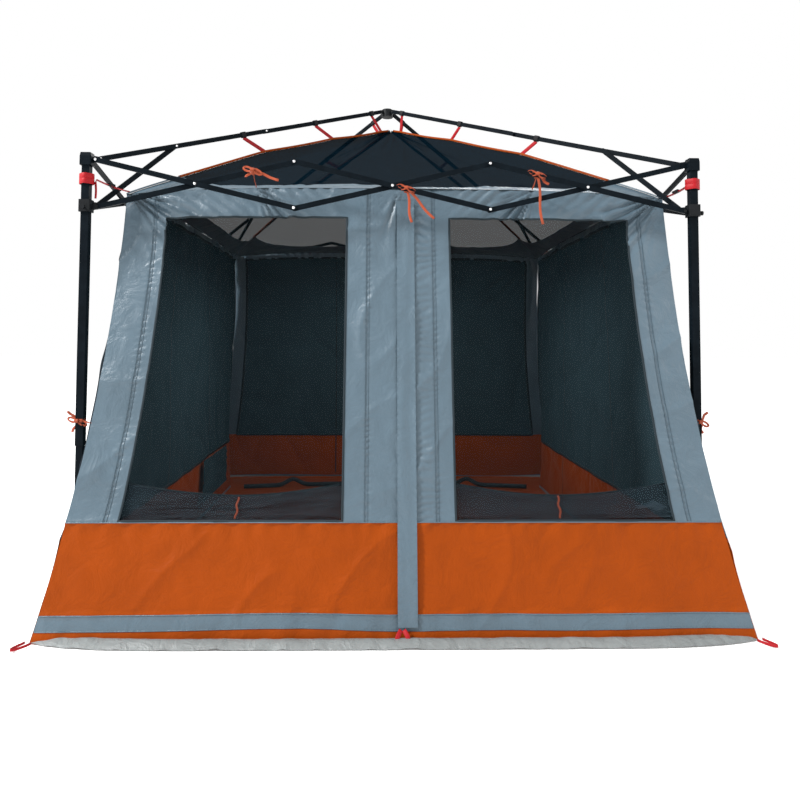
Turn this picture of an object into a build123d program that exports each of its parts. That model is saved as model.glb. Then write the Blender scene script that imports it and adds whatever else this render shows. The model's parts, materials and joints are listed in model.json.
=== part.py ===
from build123d import *
import os
from math import acos, asin, atan2, cos, degrees, hypot, radians, sin, sqrt

# A pop-up shelter: a folding steel frame on four telescoping posts, with a fabric tent
# hung inside it.  Millimetres.  The origin is on the ground under the middle of the
# shelter, +Z is up and the front, with its door, faces -Y.

# frame
POST_SPACING = 3000.0     # between the axes of neighbouring posts
POST_WIDTH = 38.0
POST_WALL = 1.5
POST_BOTTOM = 810.0
LEG_WIDTH = 32.0
LEG_TOP = 1060.0
FOOT_SIZE = 70.0
FOOT_HEIGHT = 6.0
FOOT_CORNER_R = 6.0
FOOT_SOCKET_WALL = 4.0
FOOT_SOCKET_HEIGHT = 40.0
BRACKET_Z = 2200.0        # upper scissor pivots
SLIDER_DROP = 230.0       # from the upper scissor pivots to the lower ones
PIVOT_OUT = 45.0          # from a post's axis to the pivots beside it
DIAGONAL_OUT = 60.0       # and to the pivots that face the middle
BLOCK_SIZE = 56.0         # corner brackets and sliders
BLOCK_CORNER_R = 5.0
BLOCK_BELOW = 28.0        # a block's lower face below its scissor pivots
SOCKET_PLAY = 1.0         # a bracket's socket against its tube, and a slider against its post
SOCKET_HEIGHT = 44.0      # the bracket's socket, with a tapered cap above it
CAP_HEIGHT = 18.0
CAP_TAPER = 12.0
SLIDER_HEIGHT = 60.0
KNOB_BELOW = 8.0          # the pull knob below the slider's scissor pivots
KNOB_STEM_R = 5.0
KNOB_STEM = 12.0
KNOB_R = 11.0
KNOB_THICK = 10.0
X_COUNT = 3               # crossed pairs on each side

# bars, which lie in two layers with a gap between them
BAR_WIDTH = 25.0
BAR_THICK = 13.0
LAYER_GAP = 4.0
PIN_R = 4.0
RUNNING_R = 4.05
OPEN_R = 4.6              # holes of the pivots that the tree leaves open
HEAD_R = 8.0
HEAD_THICK = 2.0
HEAD_PLAY = 0.5
BOSS_R = 11.0
EAR_THICK = 3.0
EAR_LENGTH = 34.0
EAR_HEIGHT = 24.0

# roof arms
ARM_RISE = 15.0           # arm pivots above the upper scissor pivots
STRUT_RISE = 15.0         # strut pivots above the lower scissor pivots
HUB_PIVOT_R = 60.0
HUB_R = 40.0
HUB_HEIGHT = 56.0
HUB_EDGE_R = 8.0
HUB_Z = 2930.0
FOLDED_ANGLE = 85.0       # a scissor bar's slope when the frame is folded

# tent
SKIN = 3.0
EAVE_Z = 2050.0
EAVE_HALF = 1372.0
CORNER_FLARE_X = 228.0    # how far a ground corner is pulled out past the eave corner
CORNER_FLARE_Y = 428.0
TUCK_Y = 20.0             # the side walls pass inside the posts
PEAK_Z = 2800.0
SEAM_GAP = 5.0
WALL_FOOT = 6.0
FLAP_WIDTH = 86.0
FLAP_X = 70.0             # the door's zip is a little right of the middle
FLAP_SHARE = 0.94         # of the front wall's slope
FLAP_CORNER_R = 8.0
HEM_R = 2.5               # the corded seam that the flap swings on
HEM_INSET = 10.0
ZIP_LOW = 0.3             # the zip's slider below the wall's mid height, as a share of it
ZIP_STANDOFF = 1.5
ZIP_BODY = (14.0, 24.0, 3.0)
ZIP_PULL = (8.0, 34.0, 2.0)
ZIP_PULL_DROP = 16.0
ZIP_CORNER_R = 3.0
FLAP_STANDOFF = 10.0
STRAP_WIDTH = 25.0
STRAP_THICK = 2.0
STRAP_SHARES = (0.42, 0.72)  # of the way from a post to the middle
STRAP_LEAN = 40.0         # a strap's lower end nearer to the middle than its upper end
STRAP_ASIDE = 24.0        # the corner straps pass beside the struts
STRAP_ABOVE_ROOF = 6.0
CORNER_STRAP_RISE = 62.0  # above the eave, at the post
CORNER_STRAP_FOOT = 8.0
CORNER_STRAP_SHORT = 12.0
STAKE_LOOP = 105.0
LOOP_START = 0.15         # of its length, out from the ground corner
LOOP_LEAN = 0.38
LOOP_OUT = 2.0
SILL_LOOP = 60.0
SILL_OUT = 4.0
UNDER_ARM = 30.0
PEAK_WIDTH = 20.0

HALF = POST_SPACING / 2
RUN = (POST_SPACING - 2 * PIVOT_OUT) / X_COUNT
BAR_LENGTH = hypot(RUN, SLIDER_DROP)
SLIDER_Z = BRACKET_Z - SLIDER_DROP
ARM_Z = BRACKET_Z + ARM_RISE
DIAGONAL_RUN = HALF * sqrt(2) - DIAGONAL_OUT - HUB_PIVOT_R
ARM_LENGTH = hypot(DIAGONAL_RUN, HUB_Z - ARM_Z) / 2
ARM_SLOPE = atan2(HUB_Z - ARM_Z, DIAGONAL_RUN)

# folded, the posts stand close together and each arm pair hangs as a narrow V
FOLDED_SPACING = X_COUNT * BAR_LENGTH * cos(radians(FOLDED_ANGLE)) + 2 * PIVOT_OUT
FOLDED_RUN = FOLDED_SPACING / sqrt(2) - DIAGONAL_OUT - HUB_PIVOT_R
FOLDED_ARM = acos(FOLDED_RUN / (2 * ARM_LENGTH))

# the strut meets the arm where its length is the same open and folded
DROP_OPEN = SLIDER_DROP + ARM_RISE - STRUT_RISE
DROP_FOLDED = BAR_LENGTH * sin(radians(FOLDED_ANGLE)) + ARM_RISE - STRUT_RISE
STRUT_AT = (DROP_FOLDED**2 - DROP_OPEN**2) / (
    2 * (DROP_OPEN * sin(ARM_SLOPE) + DROP_FOLDED * sin(FOLDED_ARM))
)

UP = Vector(0, 0, 1)
CORNERS = ["front_left", "front_right", "back_right", "back_left"]
SIDES = ["front", "right", "back", "left"]
ALONG = [Vector(1, 0, 0), Vector(0, 1, 0), Vector(-1, 0, 0), Vector(0, -1, 0)]
OUTWARD = [direction.cross(UP) for direction in ALONG]


def post_axis(corner, z):
    """A point on the axis of a post, at height z."""
    return OUTWARD[corner] * HALF - ALONG[corner] * HALF + UP * z


def to_centre(corner):
    """The level direction from a post to the middle of the shelter."""
    return (ALONG[corner] - OUTWARD[corner]).normalized()


def side_point(side, run, z):
    """A point in a side's scissor plane, run from the first post's axis."""
    return post_axis(side, z) + ALONG[side] * run


def bar_plane(start, end, normal):
    """The plane between the two layers, its origin at start and its X along the bar."""
    return Plane(origin=start, x_dir=end - start, z_dir=normal)


def save(part, name):
    """Label a finished piece and write its STEP file."""
    part.label = name
    export_step(part, f"parts/{name}.step")


def pin_through(plane, at, layer):
    """A rivet from the middle plane through the bar in the given layer, with its head."""
    reach = LAYER_GAP / 2 + BAR_THICK + HEAD_PLAY
    with BuildPart() as pin:
        with BuildSketch(plane):
            with Locations((at, 0)):
                Circle(PIN_R)
        extrude(amount=layer * reach)
        with BuildSketch(plane.offset(layer * reach)):
            with Locations((at, 0)):
                Circle(HEAD_R)
        extrude(amount=layer * HEAD_THICK)
    return pin.part


def make_bar(name, plane, length, layer, holes, pins=(), stubs=()):
    """A flat-sided tube with round ends, its holes, and the rivets that it carries."""
    face = plane.offset(layer * LAYER_GAP / 2)
    with BuildPart() as bar:
        with BuildSketch(face):
            with Locations((length / 2, 0)):
                SlotCenterToCenter(length, BAR_WIDTH)
            for at, radius in holes:
                with Locations((at, 0)):
                    Circle(radius, mode=Mode.SUBTRACT)
        extrude(amount=layer * BAR_THICK)
        for at in (*pins, *stubs):
            with BuildSketch(face):
                with Locations((at, 0)):
                    Circle(BOSS_R)
            extrude(amount=-layer * (LAYER_GAP - HEAD_PLAY))
            with BuildSketch(face.offset(layer * BAR_THICK)):
                with Locations((at, 0)):
                    Circle(HEAD_R)
            extrude(amount=layer * HEAD_THICK)
        for at in pins:
            add(pin_through(plane, at, -layer))
    save(bar.part, name)


def make_scissors(side):
    """One side's crossed pairs: outer bars fall to the right, inner bars rise."""
    name = SIDES[side]
    for index in range(X_COUNT):
        near = PIVOT_OUT + index * RUN
        far = near + RUN
        first = index == 0
        last = index == X_COUNT - 1
        middle = BAR_LENGTH / 2
        falling = bar_plane(
            side_point(side, near, BRACKET_Z), side_point(side, far, SLIDER_Z), OUTWARD[side]
        )
        ends = [(0, OPEN_R if side == 2 else RUNNING_R)] if first else []
        if last:
            ends.append((BAR_LENGTH, RUNNING_R if side == 1 else OPEN_R))
        rivets = [middle]
        if not first:
            rivets.append(0)
        if not last:
            rivets.append(BAR_LENGTH)
        make_bar(f"{name}_outer_bar_{index + 1}", falling, BAR_LENGTH, 1, ends, rivets)
        rising = bar_plane(
            side_point(side, near, SLIDER_Z), side_point(side, far, BRACKET_Z), OUTWARD[side]
        )
        low_end = RUNNING_R if first and side != 2 else OPEN_R
        holes = [(0, low_end), (middle, RUNNING_R), (BAR_LENGTH, RUNNING_R)]
        make_bar(f"{name}_inner_bar_{index + 1}", rising, BAR_LENGTH, -1, holes)


def ear(plane):
    """A flat tongue that reaches from a block to its pivot, in the middle plane."""
    with BuildPart() as tongue:
        with BuildSketch(plane.offset(-EAR_THICK / 2)):
            Circle(EAR_HEIGHT / 2)
            with Locations((-EAR_LENGTH / 2, 0)):
                Rectangle(EAR_LENGTH, EAR_HEIGHT)
        extrude(amount=EAR_THICK)
    return tongue.part


def pivot_planes(corner, side_z, diagonal_z):
    """The middle planes at a block's three pivots, each with its X away from the post."""
    before = (corner - 1) % 4
    inward = to_centre(corner)
    reach = {
        "next": (ALONG[corner], OUTWARD[corner], side_z, PIVOT_OUT),
        "previous": (ALONG[before] * -1, OUTWARD[before], side_z, PIVOT_OUT),
        "diagonal": (inward, inward.cross(UP), diagonal_z, DIAGONAL_OUT),
    }
    return {
        key: Plane(origin=post_axis(corner, z) + way * out, x_dir=way, z_dir=normal)
        for key, (way, normal, z, out) in reach.items()
    }


def make_post(corner):
    """An upper tube with the corner bracket on its top."""
    planes = pivot_planes(corner, BRACKET_Z, ARM_Z)
    with BuildPart() as post:
        with BuildSketch(Plane(post_axis(corner, POST_BOTTOM))):
            Rectangle(POST_WIDTH, POST_WIDTH)
            Rectangle(POST_WIDTH - 2 * POST_WALL, POST_WIDTH - 2 * POST_WALL, mode=Mode.SUBTRACT)
        extrude(amount=BRACKET_Z - POST_BOTTOM)
        with BuildSketch(Plane(post_axis(corner, BRACKET_Z - BLOCK_BELOW))):
            RectangleRounded(BLOCK_SIZE, BLOCK_SIZE, BLOCK_CORNER_R)
            Rectangle(POST_WIDTH - SOCKET_PLAY, POST_WIDTH - SOCKET_PLAY, mode=Mode.SUBTRACT)
        extrude(amount=SOCKET_HEIGHT)
        with BuildSketch(Plane(post_axis(corner, BRACKET_Z - BLOCK_BELOW + SOCKET_HEIGHT))):
            RectangleRounded(BLOCK_SIZE, BLOCK_SIZE, BLOCK_CORNER_R)
        extrude(amount=CAP_HEIGHT, taper=CAP_TAPER)
        for plane in planes.values():
            add(ear(plane))
        add(pin_through(planes["next"], 0, 1))
        add(pin_through(planes["previous"], 0, -1))
        add(pin_through(planes["diagonal"], 0, 1))
    save(post.part, f"{CORNERS[corner]}_post")


def make_slider(corner):
    """The collar that runs on a post, with its pivots and pull knob."""
    planes = pivot_planes(corner, SLIDER_Z, SLIDER_Z + STRUT_RISE)
    bore = POST_WIDTH + SOCKET_PLAY
    knob_at = post_axis(corner, SLIDER_Z - KNOB_BELOW)
    knob_face = Plane(origin=knob_at, x_dir=ALONG[corner], z_dir=OUTWARD[corner])
    with BuildPart() as slider:
        with BuildSketch(Plane(post_axis(corner, SLIDER_Z - BLOCK_BELOW))):
            RectangleRounded(BLOCK_SIZE, BLOCK_SIZE, BLOCK_CORNER_R)
            Rectangle(bore, bore, mode=Mode.SUBTRACT)
        extrude(amount=SLIDER_HEIGHT)
        for plane in planes.values():
            add(ear(plane))
        with BuildSketch(Plane(post_axis(corner, SLIDER_Z - BLOCK_BELOW))):
            Rectangle(bore, bore)
        extrude(amount=SLIDER_HEIGHT, mode=Mode.SUBTRACT)
        add(pin_through(planes["next"], 0, -1))
        add(pin_through(planes["previous"], 0, 1))
        add(pin_through(planes["diagonal"], 0, -1))
        with BuildSketch(knob_face.offset(BLOCK_SIZE / 2)):
            Circle(KNOB_STEM_R)
        extrude(amount=KNOB_STEM)
        with BuildSketch(knob_face.offset(BLOCK_SIZE / 2 + KNOB_STEM)):
            Circle(KNOB_R)
        extrude(amount=KNOB_THICK)
    save(slider.part, f"{CORNERS[corner]}_slider")


def make_lower_leg(corner):
    """The inner tube that telescopes into a post, on its foot plate."""
    socket = LEG_WIDTH + 2 * FOOT_SOCKET_WALL
    with BuildPart() as leg:
        with BuildSketch(Plane(post_axis(corner, FOOT_HEIGHT))):
            Rectangle(LEG_WIDTH, LEG_WIDTH)
            Rectangle(LEG_WIDTH - 2 * POST_WALL, LEG_WIDTH - 2 * POST_WALL, mode=Mode.SUBTRACT)
        extrude(amount=LEG_TOP - FOOT_HEIGHT)
        with BuildSketch(Plane(post_axis(corner, 0))):
            RectangleRounded(FOOT_SIZE, FOOT_SIZE, FOOT_CORNER_R)
        extrude(amount=FOOT_HEIGHT)
        with BuildSketch(Plane(post_axis(corner, FOOT_HEIGHT))):
            RectangleRounded(socket, socket, FOOT_SOCKET_WALL)
            Rectangle(LEG_WIDTH - SOCKET_PLAY, LEG_WIDTH - SOCKET_PLAY, mode=Mode.SUBTRACT)
        extrude(amount=FOOT_SOCKET_HEIGHT)
    save(leg.part, f"{CORNERS[corner]}_lower_leg")


def make_roof_arms(corner):
    """Two arms from a corner bracket to the hub, and the strut up from the slider."""
    inward = to_centre(corner)
    normal = inward.cross(UP)
    slope = inward * cos(ARM_SLOPE) + UP * sin(ARM_SLOPE)
    foot = post_axis(corner, ARM_Z) + inward * DIAGONAL_OUT
    knee = foot + slope * ARM_LENGTH
    top = knee + slope * ARM_LENGTH
    strut_foot = post_axis(corner, SLIDER_Z + STRUT_RISE) + inward * DIAGONAL_OUT
    strut_top = foot + slope * STRUT_AT
    carries_hub = corner == 0
    name = CORNERS[corner]
    outer_plane = bar_plane(foot, knee, normal)
    knee_pin = [ARM_LENGTH] if carries_hub else []
    stubs = [STRUT_AT] if carries_hub else [STRUT_AT, ARM_LENGTH]
    make_bar(f"{name}_outer_arm", outer_plane, ARM_LENGTH, 1, [(0, RUNNING_R)], knee_pin, stubs)
    inner_holes = [(ARM_LENGTH, RUNNING_R)]
    if carries_hub:
        inner_holes.append((0, RUNNING_R))
    make_bar(f"{name}_inner_arm", bar_plane(knee, top, normal), ARM_LENGTH, -1, inner_holes)
    strut_length = (strut_top - strut_foot).length
    strut_plane = bar_plane(strut_foot, strut_top, normal)
    make_bar(f"{name}_strut", strut_plane, strut_length, -1, [(0, RUNNING_R)])


def make_hub():
    """The centre piece that the four arm pairs meet at."""
    with BuildPart() as hub:
        with BuildSketch(Plane(Vector(0, 0, HUB_Z - HUB_HEIGHT / 2))):
            Circle(HUB_R)
        extrude(amount=HUB_HEIGHT)
        fillet(hub.edges().group_by(Axis.Z)[-1], HUB_EDGE_R)
        for corner in range(4):
            away = to_centre(corner) * -1
            pivot = Vector(0, 0, HUB_Z) + away * HUB_PIVOT_R
            plane = Plane(origin=pivot, x_dir=away, z_dir=to_centre(corner).cross(UP))
            add(ear(plane))
            add(pin_through(plane, 0, -1))
    save(hub.part, "roof_hub")


def panel(points, thickness=SKIN):
    """A flat sheet on the given corner points, thickened to the side its order faces."""
    x_dir = points[1] - points[0]
    plane = Plane(origin=points[0], x_dir=x_dir, z_dir=x_dir.cross(points[2] - points[0]))
    with BuildPart() as sheet:
        with BuildSketch(plane):
            with BuildLine():
                Polyline(*[plane.to_local_coords(point) for point in points], close=True)
            make_face()
        extrude(amount=thickness)
    return sheet.part


def tent_corner(sign_x, sign_y, down, inset=0.0):
    """A point on a corner edge, down = 0 at the eave and 1 at the ground."""
    x = EAVE_HALF + CORNER_FLARE_X * down - inset
    y = EAVE_HALF + CORNER_FLARE_Y * down
    return Vector(sign_x * x, sign_y * y, WALL_FOOT + (EAVE_Z - WALL_FOOT) * (1 - down))


def make_end_wall(name, sign):
    """The front wall, sign = -1, or the back wall, sign = 1."""
    wall = panel([
        tent_corner(sign, sign, 1, SEAM_GAP),
        tent_corner(-sign, sign, 1, SEAM_GAP),
        tent_corner(-sign, sign, 0, SEAM_GAP),
        tent_corner(sign, sign, 0, SEAM_GAP),
    ])
    save(wall, name)


def make_side_wall(name, sign):
    """A side wall: upright between the posts, with a gusset out to each ground corner."""
    tuck = EAVE_HALF + TUCK_Y
    low_back = Vector(sign * EAVE_HALF, tuck, WALL_FOOT)
    low_front = Vector(sign * EAVE_HALF, -tuck, WALL_FOOT)
    top_back = Vector(sign * EAVE_HALF, EAVE_HALF - SEAM_GAP, EAVE_Z)
    top_front = Vector(sign * EAVE_HALF, SEAM_GAP - EAVE_HALF, EAVE_Z)
    middle = [low_front, low_back, top_back, top_front]
    gussets = []
    for sign_y, low, top in ((-1, low_front, top_front), (1, low_back, top_back)):
        seam = Vector(0, -sign_y * SEAM_GAP * 2, 0)
        out = tent_corner(sign, sign_y, 1) + seam
        gussets.append([out, low, top] if sign_y < 0 else [low, out, top])
    faces = [middle, *gussets]
    if sign < 0:
        faces = [list(reversed(face)) for face in faces]
    with BuildPart() as wall:
        for face in faces:
            add(panel(face, -SKIN))
    save(wall.part, name)


def make_roof():
    """The mesh roof: a low four-sided pyramid skin over the eaves."""
    skins = []
    for drop in (0.0, 2 * SKIN):
        with BuildPart() as pyramid:
            with BuildSketch(Plane.XY.offset(EAVE_Z + SEAM_GAP - drop)):
                Rectangle(2 * EAVE_HALF, 2 * EAVE_HALF)
            with BuildSketch(Plane.XY.offset(PEAK_Z - drop)):
                Rectangle(PEAK_WIDTH, PEAK_WIDTH)
            loft(ruled=True)
        skins.append(pyramid.part)
    with BuildPart() as roof:
        add(skins[0])
        add(skins[1], mode=Mode.SUBTRACT)
    save(roof.part, "tent_roof")


def make_groundsheet():
    """The sheet under the tent, cut in beside each foot."""
    corner_x = EAVE_HALF + CORNER_FLARE_X
    corner_y = EAVE_HALF + CORNER_FLARE_Y
    tuck_y = EAVE_HALF + TUCK_Y
    quarter = [(corner_x, corner_y), (EAVE_HALF, tuck_y)]
    outline = [
        *quarter,
        *[(x, -y) for x, y in reversed(quarter)],
        *[(-x, -y) for x, y in quarter],
        *[(-x, y) for x, y in reversed(quarter)],
    ]
    with BuildPart() as groundsheet:
        with BuildSketch():
            with BuildLine():
                Polyline(*outline, close=True)
            make_face()
        extrude(amount=SKIN)
    save(groundsheet.part, "groundsheet")


def door_plane(down):
    """The front wall's outer face on its centre line, X to the right and Y up the wall."""
    left = tent_corner(-1, -1, down)
    right = tent_corner(1, -1, down)
    slope = tent_corner(1, -1, 0) - tent_corner(1, -1, 1)
    normal = Vector(1, 0, 0).cross(slope).normalized()
    return Plane(origin=(left + right) * 0.5 + normal * SKIN, x_dir=(1, 0, 0), z_dir=normal)


def make_door_fittings():
    """The storm flap over the zip, and the zip's slider."""
    plane = door_plane(0.5)
    wall_height = (tent_corner(1, -1, 0) - tent_corner(1, -1, 1)).length
    flap_height = wall_height * FLAP_SHARE
    zip_y = -ZIP_LOW * wall_height
    with BuildPart() as flap:
        with BuildSketch(plane.offset(FLAP_STANDOFF)):
            with Locations((FLAP_X, 0)):
                RectangleRounded(FLAP_WIDTH, flap_height, FLAP_CORNER_R)
        extrude(amount=SKIN)
        hem_y = HEM_INSET - flap_height / 2
        hem_foot = plane.from_local_coords((FLAP_X - FLAP_WIDTH / 2, hem_y, FLAP_STANDOFF + SKIN / 2))
        with BuildSketch(Plane(origin=hem_foot, x_dir=plane.x_dir, z_dir=plane.y_dir)):
            Circle(HEM_R)
        extrude(amount=flap_height - 2 * HEM_INSET)
    save(flap.part, "storm_flap")
    with BuildPart() as zip_slider:
        with BuildSketch(plane.offset(ZIP_STANDOFF)):
            with Locations((FLAP_X, zip_y)):
                RectangleRounded(ZIP_BODY[0], ZIP_BODY[1], ZIP_CORNER_R)
        extrude(amount=ZIP_BODY[2])
        with BuildSketch(plane.offset(ZIP_STANDOFF + ZIP_BODY[2])):
            with Locations((FLAP_X, zip_y - ZIP_PULL_DROP)):
                RectangleRounded(ZIP_PULL[0], ZIP_PULL[1], ZIP_CORNER_R)
        extrude(amount=ZIP_PULL[2])
    save(zip_slider.part, "zip_slider")


def strap(start, end, across):
    """A straight run of webbing."""
    run = end - start
    plane = Plane(origin=(start + end) * 0.5, x_dir=run, z_dir=run.cross(across))
    with BuildPart() as webbing:
        with BuildSketch(plane):
            Rectangle(run.length, STRAP_WIDTH)
        extrude(amount=STRAP_THICK / 2, both=True)
    return webbing.part


def make_hanging_straps():
    """Webbing from the posts to the eave corners, and from the arms to the roof."""
    with BuildPart() as straps:
        for corner in range(4):
            inward = to_centre(corner)
            side = inward.cross(UP)
            hip_run = (EAVE_HALF - PEAK_WIDTH / 2) * sqrt(2)
            hip_slope = (PEAK_Z - EAVE_Z - SEAM_GAP) / hip_run
            to_eave = (HALF - EAVE_HALF) * sqrt(2) - CORNER_STRAP_SHORT
            eave = post_axis(corner, EAVE_Z + CORNER_STRAP_FOOT) + inward * to_eave
            clear_of_post = POST_WIDTH / sqrt(2) + STRAP_THICK
            post_side = post_axis(corner, EAVE_Z + CORNER_STRAP_RISE) + inward * clear_of_post
            beside_strut = side * STRAP_ASIDE
            add(strap(post_side + beside_strut, eave + beside_strut, side))
            for share in STRAP_SHARES:
                from_post = HALF * sqrt(2) * share
                arm_z = ARM_Z + (from_post - DIAGONAL_OUT) * sin(ARM_SLOPE) / cos(ARM_SLOPE)
                to_peak = HALF * sqrt(2) - from_post - STRAP_LEAN
                hip_z = PEAK_Z - hip_slope * to_peak
                low = post_axis(corner, hip_z + STRAP_ABOVE_ROOF) + inward * (from_post + STRAP_LEAN)
                high = post_axis(corner, arm_z - UNDER_ARM) + inward * from_post
                add(strap(high, low, side))
    save(straps.part, "hanging_straps")


def make_stake_loops():
    """A webbing loop on each ground corner, and one in the middle of the door sill."""
    with BuildPart() as loops:
        for sign_x in (-1, 1):
            for sign_y in (-1, 1):
                corner = tent_corner(sign_x, sign_y, 1)
                x = corner.X + sign_x * LOOP_OUT
                y = corner.Y + sign_y * LOOP_OUT
                start = Vector(x, y, STRAP_THICK / 2)
                out = Vector(sign_x * LOOP_LEAN, sign_y, 0).normalized() * STAKE_LOOP
                add(strap(start + out * LOOP_START, start + out, out.cross(UP)))
        sill = Vector(0, -EAVE_HALF - CORNER_FLARE_Y - SILL_OUT, STRAP_THICK / 2)
        add(strap(sill, sill - Vector(0, SILL_LOOP, 0), Vector(1, 0, 0)))
    save(loops.part, "stake_loops")


os.makedirs("parts", exist_ok=True)
for number in range(4):
    make_post(number)
    make_slider(number)
    make_lower_leg(number)
    make_roof_arms(number)
    make_scissors(number)
make_hub()
make_end_wall("front_wall", -1)
make_end_wall("back_wall", 1)
make_side_wall("left_wall", -1)
make_side_wall("right_wall", 1)
make_roof()
make_groundsheet()
make_door_fittings()
make_hanging_straps()
make_stake_loops()
print("scissor slope", round(degrees(asin(SLIDER_DROP / BAR_LENGTH)), 4))
print("arm slope", round(degrees(ARM_SLOPE), 4), "folded", round(degrees(FOLDED_ARM), 4))
print("strut at", round(STRUT_AT, 3))
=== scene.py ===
import json
import math
import bpy
from mathutils import Matrix, Vector, noise


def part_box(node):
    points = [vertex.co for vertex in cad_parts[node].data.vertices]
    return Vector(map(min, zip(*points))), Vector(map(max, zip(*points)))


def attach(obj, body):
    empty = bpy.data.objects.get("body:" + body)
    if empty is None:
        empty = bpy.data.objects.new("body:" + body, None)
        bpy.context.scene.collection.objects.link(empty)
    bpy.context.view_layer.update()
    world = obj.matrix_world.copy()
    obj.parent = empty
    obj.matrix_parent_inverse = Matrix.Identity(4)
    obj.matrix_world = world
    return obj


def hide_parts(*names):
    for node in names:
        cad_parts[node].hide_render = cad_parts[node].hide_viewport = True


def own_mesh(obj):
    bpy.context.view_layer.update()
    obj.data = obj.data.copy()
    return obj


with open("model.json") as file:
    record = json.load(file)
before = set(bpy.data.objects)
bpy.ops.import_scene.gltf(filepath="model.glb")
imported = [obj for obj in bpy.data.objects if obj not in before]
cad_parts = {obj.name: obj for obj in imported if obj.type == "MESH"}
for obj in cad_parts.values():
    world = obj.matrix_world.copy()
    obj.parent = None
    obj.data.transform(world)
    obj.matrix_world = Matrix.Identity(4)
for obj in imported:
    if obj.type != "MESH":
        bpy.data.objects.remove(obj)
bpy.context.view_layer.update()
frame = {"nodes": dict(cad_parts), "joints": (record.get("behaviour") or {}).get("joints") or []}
nodes = frame["nodes"]
joints = {joint["name"]: joint for joint in frame["joints"]}

ROOT = "front_left_post"      # the tent rides on this post
CORNERS = ["front_left", "front_right", "back_right", "back_left"]
CORNER_SIGNS = [(-1, -1), (1, -1), (1, 1), (-1, 1)]
SIDES = ["front", "right", "back", "left"]
SIDE_OUT = [Vector((0, -1, 0)), Vector((1, 0, 0)), Vector((0, 1, 0)), Vector((-1, 0, 0))]
UP = Vector((0, 0, 1))
SIDE_ALONG = [UP.cross(outward) for outward in SIDE_OUT]

# sizes read from the frame
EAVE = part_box("tent_roof")[1].x
EAVE_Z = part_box("tent_roof")[0].z
PEAK_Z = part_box("tent_roof")[1].z
GROUND_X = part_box("groundsheet")[1].x
GROUND_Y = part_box("groundsheet")[1].y
FEET_LOW, FEET_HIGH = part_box("back_right_lower_leg")
POST_AT = (FEET_LOW.x + FEET_HIGH.x) / 2
FLAP_LOW, FLAP_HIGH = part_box("storm_flap")
ZIP_X = (FLAP_LOW.x + FLAP_HIGH.x) / 2
HUB_LOW, HUB_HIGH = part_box("roof_hub")

# how the frame is built
HALF_BAR = 0.0125         # half a frame bar's width
BAR_FACE = 0.017          # from the posts' middle out to the face of the outer bars
RIVET_RADIUS = 0.0068
RIVET_HEIGHT = 0.0022
STRUT_SHARE = 0.2055      # where a strut meets its arm, from the post to the hub
KNEE_SHARE = 0.5

# how the tent hangs
TENT_SHIFT = 0.025        # a little right of the frame's middle
SHARE_TUCKED = 0.76       # of a side wall's half length, where it lies straight between the posts
CURVE = 2.2               # how late the walls' edges swing out to the ground corners
EAVE_LIFT = 0.042         # how far the ties pull the middle of an eave up
LIFT_FROM = 0.84          # the height on a wall, as a share, where that lift begins
HIP_BOW = 0.056           # how far a hip bows up between the eave and the peak
HIP_SLACK = 0.03          # a hip's sag between two straps, per share of the slope between them
ROOF_SAG = 0.045          # how far a roof panel sags between its hips
PEAK_HALF = 0.006         # half the width of the roof's tip
HOOKS = (0.44, 0.72, 0.955)       # where straps hold the hips, from the eave to the peak
ARM_HOOKS = (0.42, 0.70, 0.955)   # and where they leave the arms, from the post to the hub
TIES = (-0.53, 0.01, 0.52)        # where ribbons pull an eave up to the scissor bars

# slack and folds, as heights off the plain surface
FRONT_SLACK = 0.0065
WALL_SLACK = 0.009
ROOF_SLACK = 0.007
FOLD_DEPTH = 0.0185       # straight folds that fan out from a tie or corner
CRUMPLE_DEPTH = 0.0072    # fine slanting crumples under an eave
PUCKER_DEPTH = 0.0042     # beside a sewn seam
STITCH_DEPTH = 0.0030     # the groove of a sewn seam
GATHER_DEPTH = 0.0075     # across the gathered strip beside the zip
PLEAT_DEPTH = 0.0100      # just below the top seam of the orange band
ZIP_HOLD = 0.88           # the share of the slack that the zip takes out of the cloth by it

# the front wall's layout: s runs across from -1 to 1, t from the ground to the eave
WINDOW_T = (0.243, 0.936)
WINDOW_LEFT = (-0.845, -0.184)
WINDOW_RIGHT = (0.195, 0.853)
BAND_T = (0.055, 0.240)
SKIRT_T = 0.024
SEAMS = (-0.885, -0.105, 0.135, 0.900)
LADDER = (0.066, 0.128)   # the gathered strip beside the door's zip
ZIP_AT = (ZIP_X - TENT_SHIFT) / EAVE

# the other walls' layout
WALL_WINDOW_T = (0.205, 0.980)
WALL_SEAMS = (-0.33, 0.33)
EAVE_BAND = 0.088         # the roof's grey band, as a share of its slope
SHEET_EDGE = 0.022        # the groundsheet's silver edge, as a share of its length

# webbing, with heights above the ground
WRAP_HEIGHTS = (2.118, 2.092)     # the two turns of red webbing round each post
STRAP_HEIGHT = 2.105
LEG_TIE_HEIGHT = 0.93


# ---------------- materials

def new_material(name):
    """A node material, its node tree and its shader."""
    material = bpy.data.materials.new(name)
    material.use_nodes = True
    tree = material.node_tree
    shader = tree.nodes["Principled BSDF"]
    return material, tree, shader


def add_node(tree, kind, inputs=None, **settings):
    """One node, with its settings and its unlinked inputs."""
    node = tree.nodes.new(kind)
    for key, value in settings.items():
        setattr(node, key, value)
    for key, value in (inputs or {}).items():
        node.inputs[key].default_value = value
    return node


def tinted(color, factor):
    """A colour made darker or lighter, as RGBA."""
    return (*[min(1.0, channel * factor) for channel in color], 1.0)


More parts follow.
